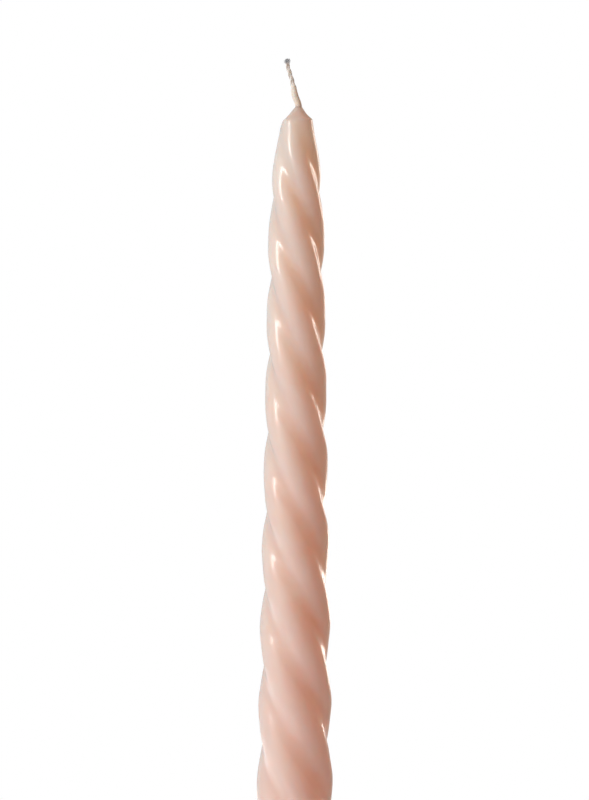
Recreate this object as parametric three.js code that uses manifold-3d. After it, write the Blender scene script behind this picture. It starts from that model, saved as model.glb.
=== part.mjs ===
// A twisted taper candle: an ivory wax core cast round a cotton wick, a tinted dip over it,
// four lobes with a left-hand twist, a plain round foot, a conical tip and a bent wick.
//
// Millimetres, +Z up. The origin is the centre of the foot's flat underside. The front is
// what is seen looking along +Y, with +X to the right.

import * as THREE from 'three';
import { mergeVertices } from 'three/addons/utils/BufferGeometryUtils.js';
import Module from 'manifold-3d';

const wasm = await Module();
wasm.setup();

// Wax body. Its radii are measured from the axis to the crest of a lobe.
const waxHeight = 240;
const footRadius = 11;
const bodyTopRadius = 6.6;
const shoulderRadius = 4.33;
const tipTaperLength = 12;
const tipConeHeight = 2.8;
const tipRimWidth = 0.42;

// Plain foot and the stretch over which the lobes fade into it
const footHeight = 24;
const footFadeHeight = 14;

// Lobes and twist. A groove's depth is measured down from the crests beside it.
const lobeCount = 4;
const twistLead = 77.5;
const grooveAngleAtShoulder = THREE.MathUtils.degToRad(1.5);
const grooveDepth = 1.9;
const shoulderGrooveDepth = 0.55;

// Layers and fit
const dipThickness = 0.9;
const fitGap = 0.3;

// Wick: three plies, straight inside the wax and braided where they come out of it
const plyCount = 3;
const plyDiameter = 0.46;
const plyGap = 0.08;
const braidHalfWidth = 0.5;
const braidPitch = 6;
const braidLeadIn = 2;
const braidStartAngle = THREE.MathUtils.degToRad(30);
const wickExposedLength = 12.8;
const wickRootMargin = 0.07;
const wickLean = THREE.MathUtils.degToRad(-12.5);
const wickSway = 0.24;
const wickSwayStart = 2.4;
const wickSwayPitch = 9;

// Mesh fineness
const pointsPerLobe = 6;
const plySides = 8;
const plySteps = 36;
const channelSides = 24;
const cutOverrun = 2;

// Sizes that follow from the ones above
const shoulderHeight = waxHeight - tipConeHeight;
const pointsPerRing = lobeCount * pointsPerLobe;
const ringStep = twistLead / pointsPerRing;
const braidHalfDepth = (plyDiameter + plyGap) / Math.sqrt(3);
const wickRadius = braidHalfWidth + plyDiameter / 2;
const wickChannelRadius = wickRadius + fitGap;
const tipFlatRadius = wickChannelRadius + tipRimWidth;
const tipConeRise = tipConeHeight / (shoulderRadius - tipFlatRadius);
const wickRootRadius = wickRadius + wickRootMargin;
const wickPivotHeight = waxHeight + fitGap + wickRootRadius;
const wickFreeLength = wickExposedLength - fitGap - wickRootRadius;

const waxMaterial = new THREE.MeshStandardMaterial({
  name: 'ivory_wax',
  color: 0xf4e8d2,
  roughness: 0.5,
  metalness: 0,
});
const dipMaterial = new THREE.MeshStandardMaterial({
  name: 'tinted_wax',
  color: 0xdcb5a2,
  roughness: 0.25,
  metalness: 0,
});
const cottonMaterial = new THREE.MeshStandardMaterial({
  name: 'waxed_cotton',
  color: 0xe5d8c0,
  roughness: 0.85,
  metalness: 0,
});

// Boolean helpers

function toSolid(geometry) {
  const bare = geometry.clone();
  bare.deleteAttribute('normal');
  bare.deleteAttribute('uv');
  const merged = mergeVertices(bare);
  return new wasm.Manifold(new wasm.Mesh({
    numProp: 3,
    vertProperties: new Float32Array(merged.attributes.position.array),
    triVerts: new Uint32Array(merged.index.array),
  }));
}

function toGeometry(solid) {
  const mesh = solid.getMesh();
  const geometry = new THREE.BufferGeometry();
  geometry.setAttribute('position', new THREE.BufferAttribute(mesh.vertProperties, 3));
  geometry.setIndex(new THREE.BufferAttribute(mesh.triVerts, 1));
  geometry.computeVertexNormals();
  return geometry;
}

// Twisted wax body

// How far the body is drawn in towards the shoulder, from 0 low down to 1 at the shoulder
function drawInAt(height) {
  return Math.exp(-(((shoulderHeight - height) / tipTaperLength) ** 2));
}

function crestRadiusAt(height) {
  const taperedRadius = THREE.MathUtils.lerp(footRadius, bodyTopRadius, height / shoulderHeight);
  return taperedRadius - (bodyTopRadius - shoulderRadius) * drawInAt(height);
}

function grooveDepthAt(height) {
  const depth = THREE.MathUtils.lerp(grooveDepth, shoulderGrooveDepth, drawInAt(height));
  return depth * THREE.MathUtils.smoothstep(height, footHeight, footHeight + footFadeHeight);
}

function twistAt(height) {
  return grooveAngleAtShoulder - 2 * Math.PI * (height - shoulderHeight) / twistLead;
}

// One level outline of the body. Each lobe is an arc from groove to groove: the arc's centre
// stands off the axis just far enough for it to pass through the crest and both grooves.
function lobedRing(crestRadius, depth, height) {
  const grooveRadius = crestRadius - depth;
  const halfLobe = Math.PI / lobeCount;
  const standoff = (crestRadius ** 2 - grooveRadius ** 2)
    / (2 * (crestRadius - grooveRadius * Math.cos(halfLobe)));
  const arcRadius = crestRadius - standoff;
  const ring = [];
  for (let point = 0; point < pointsPerRing; point += 1) {
    const fromCrest = 2 * halfLobe * (point % pointsPerLobe) / pointsPerLobe - halfLobe;
    const sideways = standoff * Math.sin(fromCrest);
    const radius = standoff * Math.cos(fromCrest) + Math.sqrt(arcRadius ** 2 - sideways ** 2);
    const angle = 2 * Math.PI * point / pointsPerRing + twistAt(height);
    ring.push(new THREE.Vector3(radius * Math.cos(angle), radius * Math.sin(angle), height));
  }
  return ring;
}

// A closed body through level rings. Each patch is split along its shorter diagonal.
function stackRings(rings) {
  const points = rings.flat();
  const bottomCentre = points.push(new THREE.Vector3(0, 0, rings[0][0].z)) - 1;
  const topCentre = points.push(new THREE.Vector3(0, 0, rings.at(-1)[0].z)) - 1;
  const lastRing = (rings.length - 1) * pointsPerRing;
  const triangles = [];
  for (let side = 0; side < pointsPerRing; side += 1) {
    const next = (side + 1) % pointsPerRing;
    triangles.push(bottomCentre, next, side);
    for (let level = 0; level < lastRing; level += pointsPerRing) {
      const [a, b] = [level + side, level + next];
      const [c, d] = [b + pointsPerRing, a + pointsPerRing];
      if (points[a].distanceTo(points[c]) < points[b].distanceTo(points[d])) {
        triangles.push(a, b, c, a, c, d);
      } else {
        triangles.push(a, b, d, b, c, d);
      }
    }
    triangles.push(topCentre, lastRing + side, lastRing + next);
  }
  const geometry = new THREE.BufferGeometry().setFromPoints(points);
  geometry.setIndex(triangles);
  return geometry;
}

// The whole wax shape, drawn in by an even inset and starting at the given height
function twistedBody(inset, bottomHeight) {
  const topHeight = waxHeight - inset * Math.hypot(1, tipConeRise);
  const neckRadius = shoulderRadius - inset;
  const neckHeight = topHeight - (neckRadius - tipFlatRadius) * tipConeRise;
  const bodyRing = (height) => lobedRing(
    crestRadiusAt(height) - inset,
    grooveDepthAt(height),
    height,
  );
  const rings = [bodyRing(bottomHeight)];
  for (let height = ringStep; height < neckHeight - ringStep / 2; height += ringStep) {
    rings.push(bodyRing(height));
  }
  rings.push(lobedRing(neckRadius, shoulderGrooveDepth, neckHeight));
  rings.push(lobedRing(tipFlatRadius, 0, topHeight));
  return toSolid(stackRings(rings));
}

function wickChannel() {
  const length = waxHeight + 2 * cutOverrun;
  const channel = new THREE.CylinderGeometry(wickChannelRadius, wickChannelRadius, length, channelSides);
  channel.rotateX(Math.PI / 2);
  channel.translate(0, 0, waxHeight / 2);
  return toSolid(channel);
}

function makeWaxCore() {
  const core = twistedBody(dipThickness + fitGap, 0).subtract(wickChannel());
  const mesh = new THREE.Mesh(toGeometry(core), waxMaterial);
  mesh.name = 'wax_core';
  return mesh;
}

function makeColourDip() {
  const outside = twistedBody(0, 0);
  const inside = twistedBody(dipThickness, -cutOverrun);
  const skin = outside.subtract(inside).subtract(wickChannel());
  const mesh = new THREE.Mesh(toGeometry(skin), dipMaterial);
  mesh.name = 'colour_dip';
  return mesh;
}

// Wick

// Where a ply runs in the braid: side to side once and front to back twice in each pitch
function braidOffset(ply, turn) {
  const phase = turn + braidStartAngle + 2 * Math.PI * ply / plyCount;
  return new THREE.Vector2(
    braidHalfWidth * Math.sin(phase),
    braidHalfDepth * Math.sin(2 * phase),
  );
}

// A free ply's route, from the pivot upwards. The braid starts turning gently, so that the
// ply leaves the root straight.
class PlyRoute extends THREE.Curve {
  constructor(ply) {
    super();
    this.ply = ply;
  }

  getPoint(share, target = new THREE.Vector3()) {
    const along = share * wickFreeLength;
    const leadIn = Math.min(along, braidLeadIn);
    const braided = along - leadIn + leadIn ** 2 / (2 * braidLeadIn);
    const offset = braidOffset(this.ply, 2 * Math.PI * braided / braidPitch);
    const swayTurn = 2 * Math.PI * (along - wickSwayStart) / wickSwayPitch;
    const sway = wickSway * share * Math.sin(swayTurn);
    return target.set(offset.x + sway, offset.y, along);
  }
}

function plySection() {
  const section = new THREE.Shape();
  section.absarc(0, 0, plyDiameter / 2, 0, 2 * Math.PI);
  return section;
}

// The lower end of each free ply ends on a ball round the pivot, so the root can tilt.
function roundRoot(geometry) {
  const position = geometry.attributes.position;
  const rootEnd = wickFreeLength / plySteps / 2;
  for (let index = 0; index < position.count; index += 1) {
    if (position.getZ(index) < rootEnd) {
      const fromAxis = Math.hypot(position.getX(index), position.getY(index));
      position.setZ(index, -Math.sqrt(wickRootRadius ** 2 - fromAxis ** 2));
    }
  }
}

function makeFreePly(ply) {
  const geometry = new THREE.ExtrudeGeometry(plySection(), {
    steps: plySteps,
    curveSegments: plySides / 2,
    extrudePath: new PlyRoute(ply),
  });
  roundRoot(geometry);
  const mesh = new THREE.Mesh(geometry, cottonMaterial);
  mesh.name = `wick_ply_${ply + 1}_free`;
  return mesh;
}

function makeBuriedPly(ply) {
  const radius = plyDiameter / 2;
  const geometry = new THREE.CylinderGeometry(radius, radius, waxHeight, plySides);
  geometry.rotateX(Math.PI / 2);
  const mesh = new THREE.Mesh(geometry, cottonMaterial);
  const offset = braidOffset(ply, 0);
  mesh.position.set(offset.x, offset.y, waxHeight / 2);
  mesh.name = `wick_ply_${ply + 1}_buried`;
  return mesh;
}

// Assembly

const candle = new THREE.Group();
candle.add(makeWaxCore());
candle.add(makeColourDip());

const wickEnd = new THREE.Group();
wickEnd.position.z = wickPivotHeight;
wickEnd.rotation.y = wickLean;
candle.add(wickEnd);

for (let ply = 0; ply < plyCount; ply += 1) {
  candle.add(makeBuriedPly(ply));
  wickEnd.add(makeFreePly(ply));
}

export default candle;
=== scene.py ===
import math
import random

import bpy
import numpy as np
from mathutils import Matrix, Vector


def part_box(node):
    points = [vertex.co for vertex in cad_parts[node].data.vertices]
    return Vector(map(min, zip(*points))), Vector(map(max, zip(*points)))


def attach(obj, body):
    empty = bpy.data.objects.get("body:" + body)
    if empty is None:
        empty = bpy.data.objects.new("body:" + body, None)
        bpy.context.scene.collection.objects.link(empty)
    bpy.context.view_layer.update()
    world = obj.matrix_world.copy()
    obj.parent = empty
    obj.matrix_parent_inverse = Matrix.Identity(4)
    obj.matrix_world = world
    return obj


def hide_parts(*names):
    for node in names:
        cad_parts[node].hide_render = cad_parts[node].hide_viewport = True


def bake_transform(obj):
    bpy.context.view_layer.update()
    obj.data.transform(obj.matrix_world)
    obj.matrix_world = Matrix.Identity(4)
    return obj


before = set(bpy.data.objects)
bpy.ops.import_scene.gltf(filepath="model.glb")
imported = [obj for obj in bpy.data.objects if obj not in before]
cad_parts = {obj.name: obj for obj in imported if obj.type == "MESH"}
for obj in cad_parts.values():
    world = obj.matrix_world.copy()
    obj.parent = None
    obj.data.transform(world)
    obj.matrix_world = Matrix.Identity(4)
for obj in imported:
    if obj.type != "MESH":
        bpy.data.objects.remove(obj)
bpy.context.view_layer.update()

# Shapes are worked out in millimetres and turned into metres as each mesh is made. Heights are
# above the foot. Distances along the wick count from the pivot of its bend, upwards.
MM = 0.001

# Wax body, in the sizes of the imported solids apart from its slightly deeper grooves
dip_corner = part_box("colour_dip")[1]
WAX_HEIGHT = dip_corner.z / MM
FOOT_RADIUS = dip_corner.x / MM
BODY_TOP_RADIUS = 6.6
SHOULDER_RADIUS = 4.33
TIP_TAPER_LENGTH = 12.0
TIP_CONE_HEIGHT = 2.8
TIP_FLAT_RADIUS = 1.45
FOOT_HEIGHT = 24.0
FOOT_FADE_HEIGHT = 14.0
LOBES = 4
TWIST_LEAD = 77.5
GROOVE_ANGLE_AT_SHOULDER = math.radians(1.5)
GROOVE_DEPTH = 2.0
SHOULDER_GROOVE_DEPTH = 0.55
SHOULDER_HEIGHT = WAX_HEIGHT - TIP_CONE_HEIGHT
CONE_RISE = TIP_CONE_HEIGHT / (SHOULDER_RADIUS - TIP_FLAT_RADIUS)
HALF_LOBE = math.pi / LOBES

# Finish of the wax body. The slimmings say how much slimmer than the solids it is, by height.
LOWER_SLIMMING = 0.22
UPPER_SLIMMING = 0.12
SLIMMING_HEIGHTS = (10, 60, 130, 190, SHOULDER_HEIGHT - 16, SHOULDER_HEIGHT - 2)
SLIMMINGS = (0, LOWER_SLIMMING, LOWER_SLIMMING, UPPER_SLIMMING, UPPER_SLIMMING, 0)
GROOVE_FILLET = 2.6
SMALLEST_FILLET = 1e-6
GROOVE_CROWDING = 0.6
FRONT_LOBE_WIDENING = 0.035
RING_STEP = 0.6
RING_POINTS = 160
CLOSING_RADIUS = 0.2

# The most waves that go round a faintly uneven surface
MOST_WAVES_ROUND = 6

# Foot. Each ring of its rounded edge has a share of the edge's inset, and a height.
FOOT_EDGE = 0.35
FOOT_EDGE_RINGS = ((1.0, 0.0), (0.35, 0.1), (0.08, 0.24))
FOOT_EDGE_TOP = 1.3 * FOOT_EDGE
DIP_WALL = 1.19
RECESS_DEPTH = 0.55

# Tip. The shoulder has the first rounding on the right, and the second on the left. The wax
# that is drawn up the wick is the meniscus.
SHOULDER_ROUNDINGS = (0.35, 1.3)
SHOULDER_CLEARANCE = 0.1
SHOULDER_TILT = 0.30
SHOULDER_TILT_REACH = 9.0
TIP_SINK = 0.4
TIP_HOLLOW = 0.3
APEX_OFFSET = 0.5
MENISCUS_FOOT_RADIUS = 1.3
MENISCUS_TOP_RADIUS = 0.72
MENISCUS_TOP_HEIGHT = WAX_HEIGHT + 0.7
MENISCUS_LIP = 0.1
CURVE_RINGS = 9
CONE_RINGS = 7

# Ivory core, whose channel for the wick opens into a dimple underneath
CORE_INSET = 1.2
CORE_RING_STEP = 3.0
CORE_RING_POINTS = 96
NOSE_RINGS = 6
WICK_HOLE_RADIUS = 0.8
CHANNEL_BOTTOM = 0.5
CHANNEL_RINGS = 60
DIMPLE_CURVE = ((WICK_HOLE_RADIUS, 0.45), (1.0, 0.05), (1.9, 0.0))
DIMPLE_RINGS = 6
CORE_FOOT_RADII = (4.0, 7.0)

# Wick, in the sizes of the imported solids
PIVOT_HEIGHT = 241.1
WICK_FREE_LENGTH = 11.7
WICK_LEAN = math.radians(-12.5)
WICK_SWAY = 0.24
WICK_SWAY_START = 2.4
WICK_SWAY_PITCH = 9.0
PLIES = 3
PLY_RADIUS = 0.23
PLY_SPACING = 0.54
BRAID_HALF_WIDTH = 0.5
BRAID_HALF_DEPTH = PLY_SPACING / math.sqrt(3)
BRAID_PITCH = 6.0
BRAID_LEAD_IN = 2.0
BRAID_START_ANGLE = math.radians(30)

# Course of the wick. It bends over a short length, and moves off the candle's axis to come out
# where the tip's cone ends.
BEND_HALF = 1.0
BEND_SAMPLES = 201
LEAVES_AXIS = (-7.0, -2.0)
JOINS_LEAN = (-1.4, 2.8)

# Yarns of each ply. Inside the wax they run straight up to where their twist starts.
YARNS = 5
YARN_RADIUS = 0.098
YARN_RING_RADIUS = 0.136
YARN_SIDES = 8
YARN_PITCH = 1.9
YARN_TWIST_START = -4.0
YARN_RINGS = 150
BURIED_LENGTH = PIVOT_HEIGHT - 0.02
TIP_START = 9.95
TIP_OVERLAP = 0.1

# How much closer together the plies lie, each over a stretch of the wick
UPPER_GATHERING = 0.33
UPPER_GATHERING_STRETCH = (2.0, 5.0)
TIP_GATHERING = 0.08
TIP_GATHERING_STRETCH = (TIP_START - 2.2, TIP_START + 0.5)

# Cut end of the wick, where the yarns open out among a tuft of fibres
OPEN_YARN_TOP = WICK_FREE_LENGTH - 0.7
OPEN_YARN_RINGS = 14
OPEN_YARN_SPREAD = 0.3
TUFT_SEED = 11
TUFT_FIBRES = 320
FIBRE_ROOTS = (TIP_START + 0.1, WICK_FREE_LENGTH - 0.75)
FIBRE_TOP = WICK_FREE_LENGTH - 0.15
FIBRE_TOP_UNEVENNESS = 0.42
FIBRE_LEAN = 0.3
FIBRE_DROOP = 0.9
FIBRE_CURL = 0.64
FIBRE_SLOWING = 0.25
SHORTEST_FIBRE = 0.2
FIBRE_POINTS = 7
FIBRE_SIDES = 5
FIBRE_RADII = (0.024, 0.012)

# Film of wax on the wick. It is round at the root and follows the braid further up.
FILM_ENDS = (-2.4, TIP_START + 0.3)
FILM_RINGS = 130
FILM_SIDES = 56
FILM_PLACES = (0.5, 2.2, 4.2, 6.4, 9.0)
FILM_THICKNESSES = (0.17, 0.13, 0.12, 0.11, 0.09)
ROOT_RADIUS = 0.82
ROOT_FLARE = 0.05
ROOT_FLARE_START = -1.2
ROOT_FLARE_REACH = 0.4
ROOT_FADE = (2.2, 5.6)
OUTLINE_SHARE = 0.95
OUTLINE_DEPTH_SHARE = 1.3
OUTLINE_FILLET = 0.35

# Tinted wax. Its tint and the depth to which light scatters in it change with height: the places
# of their stops are shares of the tint height.
TINT_HEIGHT = 1.05 * WAX_HEIGHT * MM
TINTS = (
    (0.03, (0.74, 0.445, 0.365)),
    (0.19, (0.79, 0.495, 0.43)),
    (0.40, (0.79, 0.492, 0.43)),
    (0.59, (0.755, 0.487, 0.42)),
    (0.78, (0.725, 0.487, 0.42)),
    (0.93, (0.67, 0.48, 0.42)),
    (0.98, (0.62, 0.43, 0.375)),
)
TINT_MOTTLE = 0.06
BLUSH = (0.99, 0.94, 0.93)
SCATTER_DEPTH = 0.052
SCATTER_SHARES = (
    (0.0, (0.2, 0.2, 0.2)),
    (0.16, (1.0, 1.0, 1.0)),
    (0.93, (1.0, 1.0, 1.0)),
    (0.955, (0.45, 0.45, 0.45)),
)

# Film of wax on the wick, whose tint changes between two heights
FILM_TINT_HEIGHTS = ((WAX_HEIGHT - 1) * MM, (WAX_HEIGHT + 5) * MM)
FILM_TINTS = (
    (0.3, (0.68, 0.50, 0.43)),
    (0.6, (0.75, 0.60, 0.50)),
    (1.0, (0.78, 0.66, 0.57)),
)
FILM_CLOUDING = 0.5

# Cotton, and the heights between which its cut end turns grey, in metres
COTTON_DARK = (0.70, 0.60, 0.53)
COTTON_LIGHT = (0.80, 0.69, 0.61)
COTTON_GREY = (0.52, 0.52, 0.53)
ROUGHNESS_SWING = 0.08
GREYING_HEIGHTS = (0.2510, 0.2518)
GREYING_SPECKLE = 0.0006

# Other colours, each from the dark to the light places of a noise texture
IVORY_COLOURS = ((0.3, (0.80, 0.72, 0.56)), (0.7, (0.88, 0.82, 0.68)))
PAPER_COLOURS = ((0.3, (0.83, 0.82, 0.80)), (0.7, (0.86, 0.85, 0.83)))

# The range in which a noise texture mostly lies
NOISE_RANGE = (0.3, 0.7)

# The photograph's frame
IMAGE_HEIGHT_PIXELS = 800
MM_PER_PIXEL = 0.2486
CONE_TOP_PIXEL_ROW = 108
AXIS_PIXELS_RIGHT_OF_CENTRE = 1.35
CANDLE_LEAN_IN_PICTURE = math.radians(-0.17)
LENS_LENGTH = 120

# Lamps that face the candle: name, azimuth in degrees, height and distance in metres, width and
# height of the lamp in metres, power in watts, and colour. Azimuth 0 is in front of the candle,
# and 90 is to its right.
FACING_LAMPS = (
    ("key", -52, 0.60, 0.70, (0.19, 0.42), 2.5, (1.0, 1.0, 0.99)),
    ("edge", 132, 0.27, 0.28, (0.09, 0.09), 0.129, (1.0, 0.96, 0.88)),
    ("back_edge", 153, 0.36, 2.5, (0.66, 0.28), 2.1, (1.0, 0.94, 0.84)),
    ("low_edge", 155, 0.10, 0.35, (0.12, 0.05), 0.08, (1.0, 0.93, 0.82)),
)
LAMP_AIM = (0, 0, 0.15)

# A lamp that lies on the floor and faces up, for the table's reflection in the grooves
TABLE_GLOW_SIZE = (0.40, 0.70)
TABLE_GLOW_POWER = 0.90
TABLE_GLOW_COLOUR = (1.0, 0.98, 0.94)
TABLE_GLOW_PLACE = (-0.25, 0.10, 0.003)
FACING_UP = (math.pi, 0, 0)

# These lamps show as highlights on glossy surfaces, and light nothing else.
HIGHLIGHT_LAMPS = ("edge", "back_edge", "low_edge", "table_glow")

# Light of the room by direction. From 0 to 1 the places go from the front to the left, the
# back, the right and round to the front again. The light falls off to its overhead share as the
# upward part of the direction passes through the overhead fade.
ROOM_STRENGTH = 2.05
OVERHEAD_SHARE = 0.45
OVERHEAD_FADE = (0.35, 0.85)
ROOM_LIGHT = (
    (0.0, (0.33, 0.305, 0.30)),
    (0.125, (0.58, 0.61, 0.63)),
    (0.25, (0.50, 0.52, 0.55)),
    (0.375, (0.34, 0.36, 0.38)),
    (0.5, (0.28, 0.28, 0.28)),
    (0.625, (0.32, 0.235, 0.185)),
    (0.75, (0.12, 0.075, 0.055)),
    (0.875, (0.07, 0.04, 0.025)),
    (1.0, (0.33, 0.305, 0.30)),
)

# Floor, as rings of radius and height from its underside over its bevelled edge to the middle
FLOOR_RINGS = ((380.0, -1.0), (380.0, -0.3), (379.5, -0.05), (20.0, -0.05))
FLOOR_POINTS = 96


# Meshes

def make_piece(name, points, faces, material):
    """A smooth mesh object from points in millimetres and faces that are turned outwards."""
    mesh = bpy.data.meshes.new(name)
    mesh.from_pydata((np.asarray(points) * MM).tolist(), [], faces)
    mesh.materials.append(material)
    mesh.polygons.foreach_set("use_smooth", [True] * len(mesh.polygons))
    mesh.update()
    piece = bpy.data.objects.new(name, mesh)
    bpy.context.collection.objects.link(piece)
    return piece


def ring_faces(ring_count, ring_points, start=0, closed=False):
    """The quads between rings that follow each other, and from the last to the first if closed."""
    faces = []
    for ring in range(ring_count if closed else ring_count - 1):
        low = start + ring * ring_points
        high = start + (ring + 1) % ring_count * ring_points
        for point in range(ring_points):
            turn = (point + 1) % ring_points
            faces.append((low + point, low + turn, high + turn, high + point))
    return faces


def join_tubes(name, tubes, material):
    """One object of many closed tubes, each an array of rings by points by axes."""
    points = []
    faces = []
    start = 0
    for rings in tubes:
        count, sides = rings.shape[:2]
        top = start + (count - 1) * sides
        points.append(rings.reshape(-1, 3))
        faces += ring_faces(count, sides, start)
        faces.append(tuple(range(start + sides - 1, start - 1, -1)))
        faces.append(tuple(range(top, top + sides)))
        start += count * sides
    return make_piece(name, np.concatenate(points), faces, material)


def tube(points, radii, sides):
    """Rings round a line of points that runs mostly upwards."""
    along = np.gradient(points, axis=0)
    along /= np.linalg.norm(along, axis=1)[:, None]
    first = np.cross(np.array([0.0, 1.0, 0.0]), along)
    first /= np.linalg.norm(first, axis=1)[:, None]
    second = np.cross(along, first)
    angles = np.linspace(0, 2 * math.pi, sides, endpoint=False)
    return (
        points[:, None]
        + radii[:, None, None] * np.cos(angles)[None, :, None] * first[:, None]
        + radii[:, None, None] * np.sin(angles)[None, :, None] * second[:, None]
    )


def smooth_step(values, low, high):
    share = np.clip((np.asarray(values, float) - low) / (high - low), 0, 1)
    return share * share * (3 - 2 * share)


def bezier(start, bend, end, count):
    """Points on a curve from start to end that leaves and arrives pointing at bend."""
    share = np.linspace(0, 1, count)[:, None]
    start, bend, end = (np.array(point, float) for point in (start, bend, end))
    return start * (1 - share) ** 2 + 2 * bend * share * (1 - share) + end * share ** 2


def filleted_maximum(first, second, fillet):
    """The greater of two reaches, with a fillet where they are nearly the same."""
    overlap = np.clip(1 - np.abs(first - second) / fillet, 0, 1)
    return np.maximum(first, second) + overlap ** 2 * fillet / 4


def make_waves(seed, count, size, longest, shortest):
    """Waves for a faintly uneven surface: how many go round it, phase per mm, start and size."""
    draw = random.Random(seed)
    waves = []
    for _ in range(count):
        turns = draw.randint(0, MOST_WAVES_ROUND)
        length = draw.uniform(shortest, longest)
        start = draw.uniform(0, 2 * math.pi)
        waves.append((turns, 2 * math.pi / length, start, size / math.sqrt(count)))
    return waves


def unevenness(waves, angles, height):
    total = np.zeros_like(angles)
    for turns, rise, start, size in waves:
        total += size * np.cos(turns * angles + rise * height + start)
    return total


BODY_WAVES = make_waves(seed=4, count=14, size=0.075, longest=60, shortest=9)
FILM_WAVES = make_waves(seed=9, count=8, size=0.035, longest=6, shortest=1.4)


# The twisted wax body

def draw_in(height):
    """How far the body is drawn in towards the shoulder, from 0 low down to 1 at the shoulder."""
    return math.exp(-((SHOULDER_HEIGHT - height) / TIP_TAPER_LENGTH) ** 2)


def crest_radius(height):
    tapered = FOOT_RADIUS + (BODY_TOP_RADIUS - FOOT_RADIUS) * height / SHOULDER_HEIGHT
    slimmed = float(np.interp(height, SLIMMING_HEIGHTS, SLIMMINGS))
    return tapered - slimmed - (BODY_TOP_RADIUS - SHOULDER_RADIUS) * draw_in(height)


def groove_depth(height):
    depth = GROOVE_DEPTH + (SHOULDER_GROOVE_DEPTH - GROOVE_DEPTH) * draw_in(height)
    return depth * float(smooth_step(height, FOOT_HEIGHT, FOOT_HEIGHT + FOOT_FADE_HEIGHT))


def twist(height):
    return GROOVE_ANGLE_AT_SHOULDER - 2 * math.pi * (height - SHOULDER_HEIGHT) / TWIST_LEAD


def lobe_angles(count):
    """Angles round one ring, counted from a groove and crowded together near the grooves."""
    even = np.linspace(0, 2 * math.pi, count, endpoint=False)
    return even - GROOVE_CROWDING / LOBES * np.sin(LOBES * even)


def lobed_radius(crest, depth, angles):
    """Radius of the section: lobes that are arcs, with a fillet in the groove between two."""
    groove = crest - depth
    standoff = (crest ** 2 - groove ** 2) / (2 * (crest - groove * math.cos(HALF_LOBE)))
    arc = crest - standoff
    reaches = []
    for lobe in range(LOBES):
        from_crest = angles - HALF_LOBE * (2 * lobe + 1)
        sideways = standoff * np.sin(from_crest)
        chord = np.sqrt(np.maximum(arc ** 2 - sideways ** 2, 0))
        reaches.append(standoff * np.cos(from_crest) + chord)
    furthest, second = np.sort(reaches, axis=0)[::-1][:2]
    fillet = GROOVE_FILLET * depth / GROOVE_DEPTH
    if fillet < SMALLEST_FILLET:
        return furthest
    return filleted_maximum(furthest, second, fillet)


def wax_ring(crest, depth, height, angles, wave_share=1.0):
    """One ring of the wax body in millimetres, turned by the twist at its height."""
    radius = lobed_radius(crest, depth, angles)
    radius = radius + wave_share * unevenness(BODY_WAVES, angles, height)
    turned = angles + twist(height)
    turned = turned + FRONT_LOBE_WIDENING * np.cos(turned)
    tilt = SHOULDER_TILT * float(
        smooth_step(height, SHOULDER_HEIGHT - SHOULDER_TILT_REACH, SHOULDER_HEIGHT)
        * (1 - smooth_step(height, SHOULDER_HEIGHT, WAX_HEIGHT))
    )
    return np.stack(
        [radius * np.cos(turned), radius * np.sin(turned), height + tilt * np.cos(turned)],
        axis=1,
    )


def round_ring(radius, height, angles):
    return wax_ring(radius, 0.0, height, angles, wave_share=0)


def cone_height(radius):
    """Height of the tip's cone, which is sunk and slightly hollow."""
    inwards = (SHOULDER_RADIUS - radius) / (SHOULDER_RADIUS - MENISCUS_FOOT_RADIUS)
    sunk = TIP_SINK + TIP_HOLLOW * math.sin(math.pi * min(max(inwards, 0), 1))
    return WAX_HEIGHT - (radius - TIP_FLAT_RADIUS) * CONE_RISE - sunk


def tip_profile(rounding):
    """Radius and height up the tip: rounded shoulder, cone and the wax drawn up the wick."""
    over = SHOULDER_RADIUS - rounding / math.hypot(1, CONE_RISE)
    shoulder = bezier(
        (SHOULDER_RADIUS, SHOULDER_HEIGHT - TIP_SINK - rounding),
        (SHOULDER_RADIUS, SHOULDER_HEIGHT - TIP_SINK),
        (over, cone_height(over)),
        CURVE_RINGS,
    )
    cone_radii = np.linspace(over, MENISCUS_FOOT_RADIUS, CONE_RINGS)[1:-1]
    cone = [(radius, cone_height(radius)) for radius in cone_radii]
    meniscus = bezier(
        (MENISCUS_FOOT_RADIUS, cone_height(MENISCUS_FOOT_RADIUS)),
        (MENISCUS_TOP_RADIUS, cone_height(MENISCUS_TOP_RADIUS)),
        (MENISCUS_TOP_RADIUS, MENISCUS_TOP_HEIGHT),
        CURVE_RINGS,
    )
    return np.array([*shoulder, *cone, *meniscus])


def tip_rings(angles):
    """The outside of the tip, whose shoulder is crisp on the right and rounder on the left."""
    crisp, soft = (tip_profile(rounding) for rounding in SHOULDER_ROUNDINGS)
    rings = []
    for (crisp_radius, crisp_height), (soft_radius, soft_height) in zip(crisp, soft):
        share = (crisp_radius - MENISCUS_TOP_RADIUS) / (SHOULDER_RADIUS - MENISCUS_TOP_RADIUS)
        depth = share * SHOULDER_GROOVE_DEPTH
        right = wax_ring(crisp_radius, depth, crisp_height, angles, share)
        left = wax_ring(soft_radius, depth, soft_height, angles, share)
        leftward = 0.5 - 0.5 * np.cos(angles + twist(crisp_height))[:, None]
        ring = right * (1 - leftward) + left * leftward
        ring[:, 0] += APEX_OFFSET * (1 - share)
        rings.append(ring)
    return rings


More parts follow.
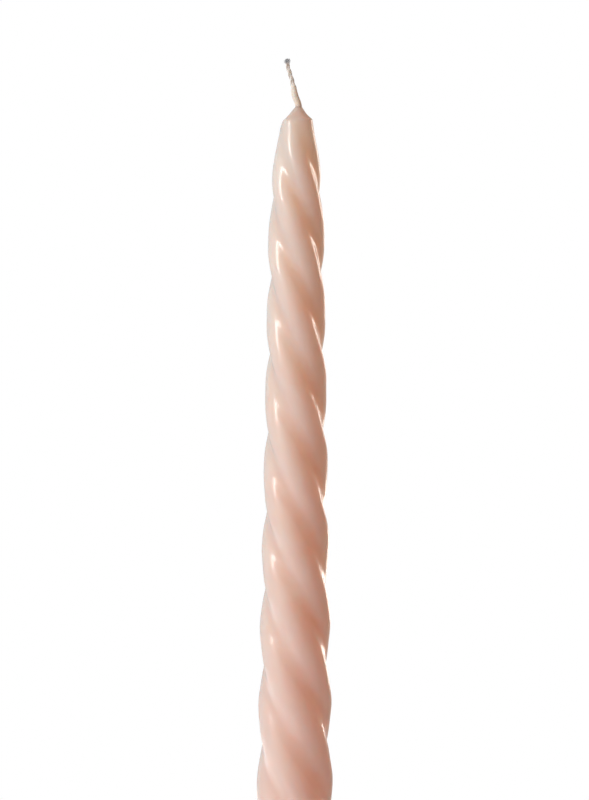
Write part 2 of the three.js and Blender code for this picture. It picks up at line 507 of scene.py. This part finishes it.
def wax_body_rings(inset, bottom, ring_step, ring_points, wave_share=1.0):
    """Rings from the bottom up to the shoulder, drawn in by an even inset."""
    angles = lobe_angles(ring_points)
    shoulder_start = SHOULDER_HEIGHT - TIP_SINK - max(SHOULDER_ROUNDINGS)
    top = shoulder_start - SHOULDER_CLEARANCE - inset
    heights = np.linspace(bottom, top, max(2, round((top - bottom) / ring_step)))
    return [
        wax_ring(crest_radius(height) - inset, groove_depth(height), height, angles, wave_share)
        for height in heights
    ]


def nose_rings(inset, ring_points):
    """Rings over the tip of an inner surface, from its shoulder in to the wick's hole."""
    angles = lobe_angles(ring_points)
    drop = inset * math.hypot(1, CONE_RISE)
    neck = SHOULDER_RADIUS - inset
    rings = []
    for radius in np.linspace(neck, WICK_HOLE_RADIUS, NOSE_RINGS):
        share = (radius - WICK_HOLE_RADIUS) / (neck - WICK_HOLE_RADIUS)
        depth = share * SHOULDER_GROOVE_DEPTH
        rings.append(wax_ring(radius, depth, cone_height(radius) - drop, angles, wave_share=0))
    return rings


def make_wax_skin(material):
    """The tinted wax: a recess underneath for the core, the outside, and the tip up to the wick."""
    angles = lobe_angles(RING_POINTS)
    recess_wall = crest_radius(0) - DIP_WALL
    rings = [
        round_ring(CLOSING_RADIUS, RECESS_DEPTH, angles),
        round_ring(recess_wall, RECESS_DEPTH, angles),
        round_ring(recess_wall, 0.0, angles),
    ]
    for share, height in FOOT_EDGE_RINGS:
        rings.append(wax_ring(crest_radius(height) - share * FOOT_EDGE, 0.0, height, angles))
    rings += wax_body_rings(0.0, FOOT_EDGE_TOP, RING_STEP, RING_POINTS)
    rings += tip_rings(angles)
    end = round_ring(CLOSING_RADIUS, MENISCUS_TOP_HEIGHT - MENISCUS_LIP, angles)
    end[:, 0] += APEX_OFFSET
    rings.append(end)
    return join_tubes("wax_skin", [np.array(rings)], material)


def make_ivory_core(material):
    """The ivory core as a closed body with a channel for the wick and a dimple round its end."""
    angles = lobe_angles(CORE_RING_POINTS)
    rings = wax_body_rings(CORE_INSET, 0.0, CORE_RING_STEP, CORE_RING_POINTS, wave_share=0)
    rings += nose_rings(CORE_INSET, CORE_RING_POINTS)
    for height in np.linspace(SHOULDER_HEIGHT, CHANNEL_BOTTOM, CHANNEL_RINGS):
        rings.append(round_ring(WICK_HOLE_RADIUS, height, angles))
    for radius, height in bezier(*DIMPLE_CURVE, DIMPLE_RINGS):
        rings.append(round_ring(radius, height, angles))
    for radius in CORE_FOOT_RADII:
        rings.append(round_ring(radius, 0.0, angles))
    faces = ring_faces(len(rings), CORE_RING_POINTS, closed=True)
    return make_piece("ivory_core", np.concatenate(rings), faces, material)


# The wick

def wick_line(along):
    """Centre of the wick and its sideways direction, by distance along it from the pivot."""
    fine = np.linspace(-BEND_HALF, BEND_HALF, BEND_SAMPLES)
    step = fine[1] - fine[0]
    lean = WICK_LEAN * smooth_step(fine, -BEND_HALF, BEND_HALF)
    middle_lean = (lean[1:] + lean[:-1]) / 2
    bend_x = np.concatenate([[0], np.cumsum(np.sin(middle_lean)) * step])
    bend_z = np.concatenate([[0], np.cumsum(np.cos(middle_lean)) * step])
    inside = np.clip(along, -BEND_HALF, BEND_HALF)
    below = np.minimum(along + BEND_HALF, 0)
    above = np.maximum(along - BEND_HALF, 0)
    off_axis = smooth_step(along, *LEAVES_AXIS) * (1 - smooth_step(along, *JOINS_LEAN))
    x = np.interp(inside, fine, bend_x) + above * math.sin(WICK_LEAN) + APEX_OFFSET * off_axis
    z = PIVOT_HEIGHT - BEND_HALF + below + np.interp(inside, fine, bend_z)
    z = z + above * math.cos(WICK_LEAN)
    angle = WICK_LEAN * smooth_step(along, -BEND_HALF, BEND_HALF)
    side = np.stack([np.cos(angle), np.zeros_like(angle), -np.sin(angle)], axis=-1)
    free = np.maximum(along, 0)
    sway_turn = 2 * math.pi * (free - WICK_SWAY_START) / WICK_SWAY_PITCH
    sway = WICK_SWAY * free / WICK_FREE_LENGTH * np.sin(sway_turn)
    centre = np.stack([x, np.zeros_like(x), z], axis=-1) + side * sway[..., None]
    return centre, side


def place_on_wick(along, sideways, depth):
    centre, side = wick_line(along)
    points = centre + side * sideways[..., None]
    points[..., 1] += depth
    return points


def braid_turn(along):
    """How far the braid has turned. It starts gently, over the lead-in."""
    free = np.maximum(along, 0)
    lead_in = np.minimum(free, BRAID_LEAD_IN)
    return 2 * math.pi * (free - lead_in + lead_in ** 2 / (2 * BRAID_LEAD_IN)) / BRAID_PITCH


def ply_offset(ply, along):
    """Where a ply lies beside the wick's centre: sideways, and front to back."""
    phase = braid_turn(along) + BRAID_START_ANGLE + 2 * math.pi * ply / PLIES
    return BRAID_HALF_WIDTH * np.sin(phase), BRAID_HALF_DEPTH * np.sin(2 * phase)


def gathered(along):
    """The share of their spacing that the plies keep as they gather towards the cut end."""
    upper = UPPER_GATHERING * smooth_step(along, *UPPER_GATHERING_STRETCH)
    return 1 - upper - TIP_GATHERING * smooth_step(along, *TIP_GATHERING_STRETCH)


def yarn_tubes(start, end, count, spread=0.0):
    """The twisted yarns of every ply between two distances along the wick."""
    along = np.linspace(start, end, count)
    twisted = np.maximum(along - YARN_TWIST_START, 0) / YARN_PITCH
    open_out = 1 + spread * smooth_step(along, start, end)
    closer = gathered(along) * open_out
    tubes = []
    for ply in range(PLIES):
        sideways, depth = ply_offset(ply, along)
        for yarn in range(YARNS):
            angle = 2 * math.pi * (twisted + yarn / YARNS)
            line = place_on_wick(
                along,
                sideways * closer + YARN_RING_RADIUS * open_out * np.cos(angle),
                depth * closer + YARN_RING_RADIUS * open_out * np.sin(angle),
            )
            tubes.append(tube(line, np.full(count, YARN_RADIUS), YARN_SIDES))
    return tubes


def make_wick_braid(material):
    """The cotton wick from the foot to just below its cut end, straight inside the wax."""
    buried = yarn_tubes(-BURIED_LENGTH, YARN_TWIST_START, 2)
    free = yarn_tubes(YARN_TWIST_START, TIP_START + TIP_OVERLAP, YARN_RINGS)
    joined = [np.concatenate([low[:-1], high]) for low, high in zip(buried, free)]
    return join_tubes("wick_braid", joined, material)


def make_wick_tip(material):
    """The cut end of the wick, whose yarns open into a small round tuft of fibres."""
    draw = random.Random(TUFT_SEED)
    share = np.linspace(0, 1, FIBRE_POINTS)
    climb = share - FIBRE_SLOWING * share ** 3
    radii = np.linspace(*FIBRE_RADII, FIBRE_POINTS)
    tubes = yarn_tubes(TIP_START, OPEN_YARN_TOP, OPEN_YARN_RINGS, OPEN_YARN_SPREAD)
    for _ in range(TUFT_FIBRES):
        ply = draw.randrange(PLIES)
        start = draw.uniform(*FIBRE_ROOTS)
        away = draw.uniform(0, 2 * math.pi)
        root = PLY_RADIUS * math.sqrt(draw.random())
        lean = abs(draw.gauss(0.0, FIBRE_LEAN))
        curl = draw.gauss(0, FIBRE_CURL)
        cut = draw.uniform(0, FIBRE_TOP_UNEVENNESS)
        rise = max(FIBRE_TOP - start - FIBRE_DROOP * lean - cut, SHORTEST_FIBRE)
        along = start + rise * climb / (1 - FIBRE_SLOWING)
        sideways, depth = ply_offset(ply, np.full(FIBRE_POINTS, start))
        outward = root + lean * np.sin(share * math.pi / 2)
        around = away + curl * share
        line = place_on_wick(
            along,
            gathered(along) * sideways + outward * np.cos(around),
            gathered(along) * depth + outward * np.sin(around),
        )
        tubes.append(tube(line, radii, FIBRE_SIDES))
    return join_tubes("wick_tip", tubes, material)


def braid_outline(along, angles):
    """How far the bundle of plies reaches from the wick's centre, with the hollows filled."""
    cosine = np.cos(angles)
    sine = np.sin(angles)
    across = cosine / BRAID_HALF_WIDTH
    deep = sine / (OUTLINE_DEPTH_SHARE * BRAID_HALF_DEPTH)
    reach = OUTLINE_SHARE / np.sqrt(across ** 2 + deep ** 2)
    for ply in range(PLIES):
        sideways, depth = (float(value) for value in ply_offset(ply, np.array(along)))
        ahead = sideways * cosine + depth * sine
        aside = -sideways * sine + depth * cosine
        inside = PLY_RADIUS ** 2 - aside ** 2
        ply_reach = np.where(inside > 0, ahead + np.sqrt(np.maximum(inside, 0)), 0)
        reach = filleted_maximum(reach, ply_reach, OUTLINE_FILLET)
    return reach


def make_wick_wax(material):
    """The wax that soaked and coated the free wick, thinning upwards."""
    angles = np.linspace(0, 2 * math.pi, FILM_SIDES, endpoint=False)
    rings = []
    for along in np.linspace(*FILM_ENDS, FILM_RINGS):
        thickness = np.interp(along, FILM_PLACES, FILM_THICKNESSES)
        radius = gathered(along) * (braid_outline(along, angles) + thickness)
        radius = radius + unevenness(FILM_WAVES, angles, along)
        flare = math.exp(-max(along - ROOT_FLARE_START, 0) / ROOT_FLARE_REACH)
        root = ROOT_RADIUS + ROOT_FLARE * flare
        rounded = float(1 - smooth_step(along, *ROOT_FADE))
        radius = radius * (1 - rounded) + root * rounded
        row = np.full(FILM_SIDES, along)
        rings.append(place_on_wick(row, radius * np.cos(angles), radius * np.sin(angles)))
    return join_tubes("wick_wax", [np.array(rings)], material)


# Materials

def new_material(name):
    material = bpy.data.materials.new(name)
    material.use_nodes = True
    shader = material.node_tree.nodes["Principled BSDF"]
    return material, material.node_tree, shader


def add_node(tree, kind, **settings):
    """A new node. A setting is a socket's value where the node has a socket of that name."""
    node = tree.nodes.new(kind)
    for key, value in settings.items():
        if key in node.inputs:
            node.inputs[key].default_value = value
        else:
            setattr(node, key, value)
    return node


def set_sockets(node, values):
    for socket, value in values.items():
        node.inputs[socket].default_value = value


def object_place(tree):
    """The place on the piece, in metres from the middle of the foot."""
    return add_node(tree, "ShaderNodeTexCoord").outputs["Object"]


def split_axes(tree, vector):
    split = add_node(tree, "ShaderNodeSeparateXYZ")
    tree.links.new(vector, split.inputs["Vector"])
    return split.outputs


def scaled_place(tree, place, scale):
    mapping = add_node(tree, "ShaderNodeMapping", Scale=scale)
    tree.links.new(place, mapping.inputs["Vector"])
    return mapping.outputs["Vector"]


def noise_texture(tree, place, scale, detail, roughness=0.5):
    noise = add_node(tree, "ShaderNodeTexNoise", Scale=scale, Detail=detail, Roughness=roughness)
    tree.links.new(place, noise.inputs["Vector"])
    return noise.outputs["Fac"]


def map_range(tree, value, source, target=(0, 1), **settings):
    """A value taken from one range to another, each given as its low and high end."""
    node = add_node(tree, "ShaderNodeMapRange", **settings)
    tree.links.new(value, node.inputs["Value"])
    set_sockets(node, {
        "From Min": source[0],
        "From Max": source[1],
        "To Min": target[0],
        "To Max": target[1],
    })
    return node.outputs["Result"]


def multiply_add(tree, value, factor, addend):
    node = add_node(tree, "ShaderNodeMath", operation="MULTIPLY_ADD")
    tree.links.new(value, node.inputs[0])
    node.inputs[1].default_value = factor
    tree.links.new(addend, node.inputs[2])
    return node.outputs["Value"]


def colour_ramp(tree, value, stops):
    """A colour that follows a value through stops, each a position and a colour."""
    ramp = add_node(tree, "ShaderNodeValToRGB")
    tree.links.new(value, ramp.inputs["Fac"])
    elements = ramp.color_ramp.elements
    while len(elements) < len(stops):
        elements.new(0.5)
    for element, (position, colour) in zip(elements, stops):
        element.position = position
        element.color = (*colour, 1)
    return ramp.outputs["Color"]


def mix_colour(tree, factor, colour, other, blend_type="MIX"):
    """A colour that is blended with another, fixed one as the factor grows."""
    mix = add_node(tree, "ShaderNodeMix", data_type="RGBA", blend_type=blend_type)
    tree.links.new(factor, mix.inputs["Factor"])
    tree.links.new(colour, mix.inputs["A"])
    mix.inputs["B"].default_value = (*other, 1)
    return mix.outputs["Result"]


def add_bump(tree, height, strength, distance, normal=None):
    bump = add_node(tree, "ShaderNodeBump", Strength=strength, Distance=distance)
    tree.links.new(height, bump.inputs["Height"])
    if normal is not None:
        tree.links.new(normal, bump.inputs["Normal"])
    return bump.outputs["Normal"]


def tinted_wax():
    """Glossy dusty pink wax, creamier upwards and darker in the tip and at the foot, with a faint
    mottle and orange peel.
    """
    material, tree, shader = new_material("tinted_wax")
    place = object_place(tree)
    rise = map_range(tree, split_axes(tree, place)["Z"], (0, TINT_HEIGHT))
    mottle = noise_texture(tree, place, scale=55, detail=3)
    tint = colour_ramp(tree, multiply_add(tree, mottle, TINT_MOTTLE, rise), TINTS)
    blush = noise_texture(tree, place, scale=110, detail=2)
    rosy = mix_colour(tree, map_range(tree, blush, NOISE_RANGE), tint, BLUSH, "MULTIPLY")
    tree.links.new(rosy, shader.inputs["Base Color"])
    gloss = noise_texture(tree, place, scale=180, detail=4)
    tree.links.new(map_range(tree, gloss, NOISE_RANGE, (0.4, 0.5)), shader.inputs["Roughness"])
    peel = noise_texture(tree, place, scale=900, detail=2)
    swell = noise_texture(tree, place, scale=130, detail=1)
    soft = add_bump(tree, swell, strength=0.25, distance=0.0004)
    fine = add_bump(tree, peel, strength=0.05, distance=0.0001, normal=soft)
    tree.links.new(fine, shader.inputs["Normal"])
    tree.links.new(soft, shader.inputs["Coat Normal"])
    scatter = add_node(tree, "ShaderNodeMath", operation="MULTIPLY")
    tree.links.new(colour_ramp(tree, rise, SCATTER_SHARES), scatter.inputs[0])
    scatter.inputs[1].default_value = SCATTER_DEPTH
    tree.links.new(scatter.outputs["Value"], shader.inputs["Subsurface Scale"])
    set_sockets(shader, {
        "Specular IOR Level": 0.6,
        "Subsurface Weight": 1.0,
        "Subsurface Radius": (1.0, 0.50, 0.36),
        "Coat Weight": 0.6,
        "Coat Roughness": 0.14,
        "Coat IOR": 1.6,
    })
    return material


def ivory_wax():
    """Uncoloured wax, faintly grained, with the marks of a knife across the cut foot."""
    material, tree, shader = new_material("ivory_wax")
    place = object_place(tree)
    grain = noise_texture(tree, place, scale=260, detail=5)
    tree.links.new(colour_ramp(tree, grain, IVORY_COLOURS), shader.inputs["Base Color"])
    tree.links.new(map_range(tree, grain, NOISE_RANGE, (0.42, 0.6)), shader.inputs["Roughness"])
    along_strokes = scaled_place(tree, place, (300, 2200, 300))
    strokes = noise_texture(tree, along_strokes, scale=1.0, detail=3)
    marks = add_bump(tree, strokes, strength=0.35, distance=0.0002)
    pits = noise_texture(tree, place, scale=1500, detail=2)
    pitted = add_bump(tree, pits, strength=0.15, distance=0.0001, normal=marks)
    tree.links.new(pitted, shader.inputs["Normal"])
    set_sockets(shader, {
        "Subsurface Weight": 0.5,
        "Subsurface Radius": (1.0, 0.7, 0.45),
        "Subsurface Scale": 0.0015,
    })
    return material


def cotton(name, roughness, sheen):
    """Cotton yarn: streaky fibres along the wick and a soft sheen."""
    material, tree, shader = new_material(name)
    along_fibres = scaled_place(tree, object_place(tree), (9000, 9000, 1500))
    fibres = noise_texture(tree, along_fibres, scale=1.0, detail=4, roughness=0.6)
    colours = ((NOISE_RANGE[0], COTTON_DARK), (NOISE_RANGE[1], COTTON_LIGHT))
    tree.links.new(colour_ramp(tree, fibres, colours), shader.inputs["Base Color"])
    ridges = add_bump(tree, fibres, strength=0.5, distance=0.00004)
    tree.links.new(ridges, shader.inputs["Normal"])
    swing = (roughness - ROUGHNESS_SWING, roughness + ROUGHNESS_SWING)
    tree.links.new(map_range(tree, fibres, NOISE_RANGE, swing), shader.inputs["Roughness"])
    set_sockets(shader, {"Sheen Weight": sheen, "Sheen Roughness": 0.5})
    return material


def greyed_cotton():
    """The cotton of the cut end, which turns grey over a short way up."""
    material = cotton("cut_cotton", roughness=0.8, sheen=0.3)
    tree = material.node_tree
    base_colour = tree.nodes["Principled BSDF"].inputs["Base Color"]
    beige = base_colour.links[0].from_socket
    place = object_place(tree)
    speckle = noise_texture(tree, place, scale=3500, detail=2)
    height = multiply_add(tree, speckle, GREYING_SPECKLE, split_axes(tree, place)["Z"])
    greyness = map_range(tree, height, GREYING_HEIGHTS)
    tree.links.new(mix_colour(tree, greyness, beige, COTTON_GREY), base_colour)
    return material


def film_wax():
    """The thin, clouded wax on the wick: tinted at the root, beige where cotton shows through."""
    material, tree, shader = new_material("wick_film_wax")
    place = object_place(tree)
    rise = map_range(tree, split_axes(tree, place)["Z"], FILM_TINT_HEIGHTS)
    cloud = noise_texture(tree, place, scale=700, detail=3)
    tint = colour_ramp(tree, multiply_add(tree, cloud, FILM_CLOUDING, rise), FILM_TINTS)
    tree.links.new(tint, shader.inputs["Base Color"])
    lumps = add_bump(tree, cloud, strength=0.3, distance=0.0001)
    tree.links.new(lumps, shader.inputs["Normal"])
    tree.links.new(map_range(tree, cloud, NOISE_RANGE, (0.3, 0.45)), shader.inputs["Roughness"])
    set_sockets(shader, {
        "Subsurface Weight": 0.6,
        "Subsurface Radius": (1.0, 0.7, 0.5),
        "Subsurface Scale": 0.003,
    })
    return material


def studio_paper():
    """Plain off-white paper for the floor."""
    material, tree, shader = new_material("studio_paper")
    tooth = noise_texture(tree, object_place(tree), scale=900, detail=3)
    tree.links.new(colour_ramp(tree, tooth, PAPER_COLOURS), shader.inputs["Base Color"])
    rough = add_bump(tree, tooth, strength=0.1, distance=0.0001)
    tree.links.new(rough, shader.inputs["Normal"])
    set_sockets(shader, {"Roughness": 0.8})
    return material


# The studio

def make_camera():
    """A long lens, level with the middle of the picture, square to the candle."""
    view_height = IMAGE_HEIGHT_PIXELS * MM_PER_PIXEL * MM
    middle_rows = IMAGE_HEIGHT_PIXELS / 2 - CONE_TOP_PIXEL_ROW
    aim_height = (WAX_HEIGHT - middle_rows * MM_PER_PIXEL) * MM
    data = bpy.data.cameras.new("camera")
    data.lens = LENS_LENGTH
    distance = view_height * data.lens / data.sensor_width
    camera = bpy.data.objects.new("camera", data)
    camera.location = (-AXIS_PIXELS_RIGHT_OF_CENTRE * MM_PER_PIXEL * MM, -distance, aim_height)
    camera.rotation_euler = (math.pi / 2, CANDLE_LEAN_IN_PICTURE, 0)
    bpy.context.collection.objects.link(camera)
    bpy.context.scene.camera = camera


def make_lamp(name, size, power, colour, place, rotation):
    data = bpy.data.lights.new(name, "AREA")
    data.shape = "RECTANGLE"
    data.size, data.size_y = size
    data.energy = power
    data.color = colour
    lamp = bpy.data.objects.new(name, data)
    lamp.location = place
    lamp.rotation_euler = rotation
    lamp.visible_diffuse = name not in HIGHLIGHT_LAMPS
    bpy.context.collection.objects.link(lamp)
    return lamp


def make_lamps():
    for name, azimuth, height, distance, size, power, colour in FACING_LAMPS:
        turn = math.radians(azimuth)
        place = Vector((distance * math.sin(turn), -distance * math.cos(turn), height))
        rotation = (Vector(LAMP_AIM) - place).to_track_quat("-Z", "Y").to_euler()
        make_lamp(name, size, power, colour, place, rotation)
    table_glow = make_lamp(
        "table_glow",
        TABLE_GLOW_SIZE,
        TABLE_GLOW_POWER,
        TABLE_GLOW_COLOUR,
        TABLE_GLOW_PLACE,
        FACING_UP,
    )
    table_glow.visible_camera = False


def make_world():
    """White to the camera. Its light is strongest from the left, weak from the right and above."""
    world = bpy.data.worlds.new("studio")
    world.use_nodes = True
    tree = world.node_tree
    direction = split_axes(tree, add_node(tree, "ShaderNodeTexCoord").outputs["Generated"])
    azimuth = add_node(tree, "ShaderNodeMath", operation="ARCTAN2")
    tree.links.new(direction["X"], azimuth.inputs[0])
    tree.links.new(direction["Y"], azimuth.inputs[1])
    turn = map_range(tree, azimuth.outputs["Value"], (-math.pi, math.pi))
    strength = map_range(
        tree,
        direction["Z"],
        OVERHEAD_FADE,
        (ROOM_STRENGTH, ROOM_STRENGTH * OVERHEAD_SHARE),
        interpolation_type="SMOOTHSTEP",
    )
    room = tree.nodes["Background"]
    tree.links.new(colour_ramp(tree, turn, ROOM_LIGHT), room.inputs["Color"])
    tree.links.new(strength, room.inputs["Strength"])
    seen = add_node(tree, "ShaderNodeBackground", Color=(1, 1, 1, 1), Strength=1.0)
    path = add_node(tree, "ShaderNodeLightPath")
    either = add_node(tree, "ShaderNodeMixShader")
    tree.links.new(path.outputs["Is Camera Ray"], either.inputs["Fac"])
    tree.links.new(room.outputs["Background"], either.inputs[1])
    tree.links.new(seen.outputs["Background"], either.inputs[2])
    tree.links.new(either.outputs["Shader"], tree.nodes["World Output"].inputs["Surface"])
    bpy.context.scene.world = world


def make_floor():
    """A round sheet of paper that the candle stands on, out of the main picture."""
    angles = np.linspace(0, 2 * math.pi, FLOOR_POINTS, endpoint=False)
    rings = []
    for radius, height in FLOOR_RINGS:
        level = np.full(FLOOR_POINTS, height)
        ring = np.stack([radius * np.cos(angles), radius * np.sin(angles), level], axis=1)
        rings.append(ring)
    floor = join_tubes("floor", [np.array(rings)], studio_paper())


make_camera()
make_world()
make_floor()
make_lamps()

# The candle

skin = make_wax_skin(tinted_wax())
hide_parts("colour_dip")
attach(skin, "candle")

core = make_ivory_core(ivory_wax())
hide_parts("wax_core")
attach(core, "candle")

braid = make_wick_braid(cotton("waxed_cotton", roughness=0.6, sheen=0.2))
ply_nodes = [f"wick_ply_{ply + 1}_{part}" for ply in range(PLIES) for part in ("buried", "free")]
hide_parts(*ply_nodes)
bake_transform(braid)

film = make_wick_wax(film_wax())
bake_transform(film)

tip = make_wick_tip(greyed_cotton())
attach(tip, "wick_end")

bpy.context.scene.view_settings.view_transform = "Standard"
